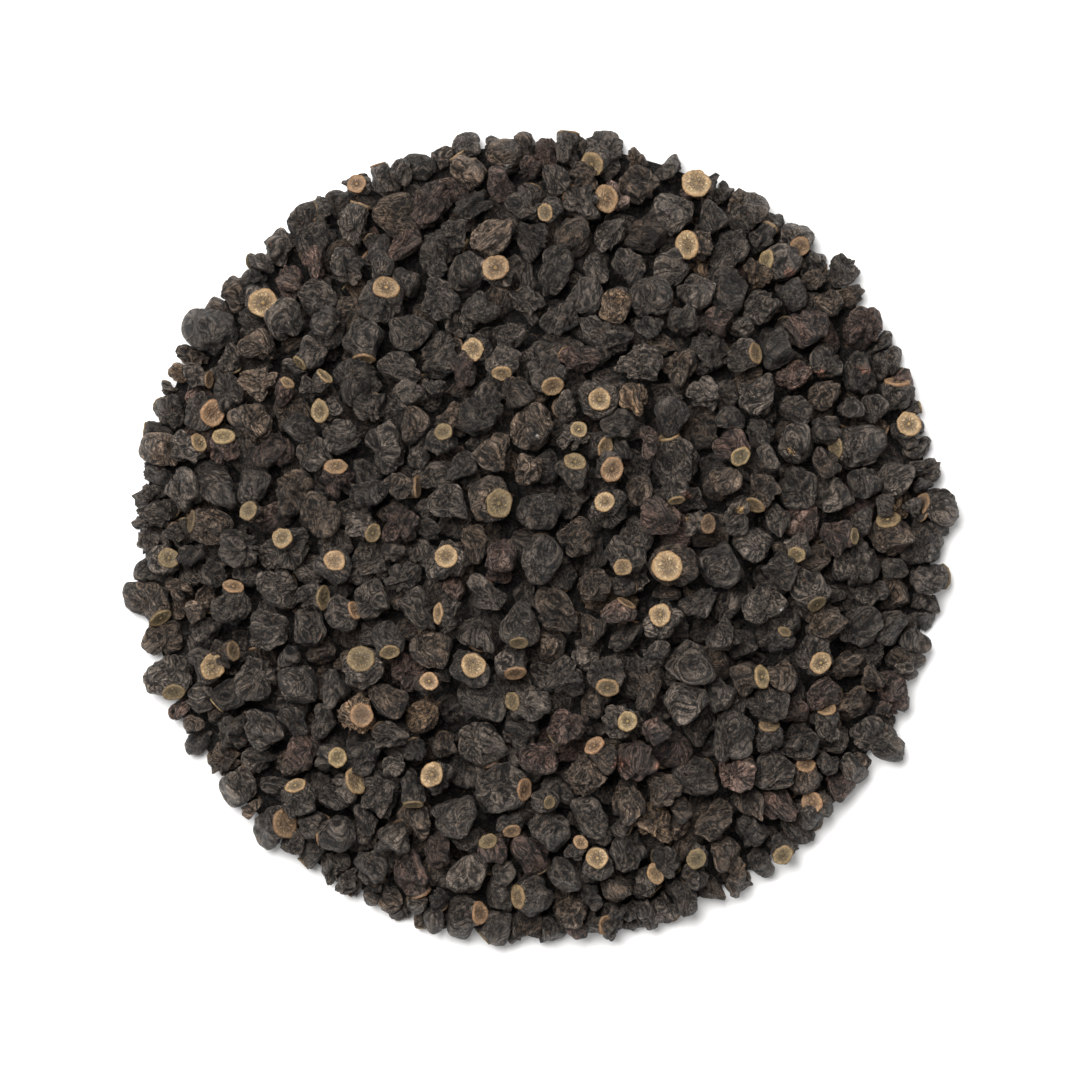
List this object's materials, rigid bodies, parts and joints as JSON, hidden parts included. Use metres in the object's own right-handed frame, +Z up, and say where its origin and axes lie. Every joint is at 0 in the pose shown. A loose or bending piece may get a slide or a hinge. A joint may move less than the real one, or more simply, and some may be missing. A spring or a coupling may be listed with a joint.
{
  "type": "heap of dried blackcurrants",
  "caption": "Low round heap of wrinkled, near-black dried blackcurrants, many with a pale round crown scar, joined as one body that lies on a flat surface.",
  "frame": {"origin": "middle of the heap's underside, on the flat spot of its lowest middle berry, at the level of the surface it lies on", "axes": "+Z up out of the heap, against gravity; +X to the right and +Y to the top of a view from straight above"},
  "size_m": [0.1073, 0.1067, 0.0198],
  "materials": {
    "dried_skin": "wrinkled dry skin, near black with a grey or brown cast, satin to matte",
    "crown_scar": "dry papery tan scar with dark flecks, matte"
  },
  "bodies": {
    "root": {"dried_berry_heap": "dried_skin"}
  },
  "joints": []
}
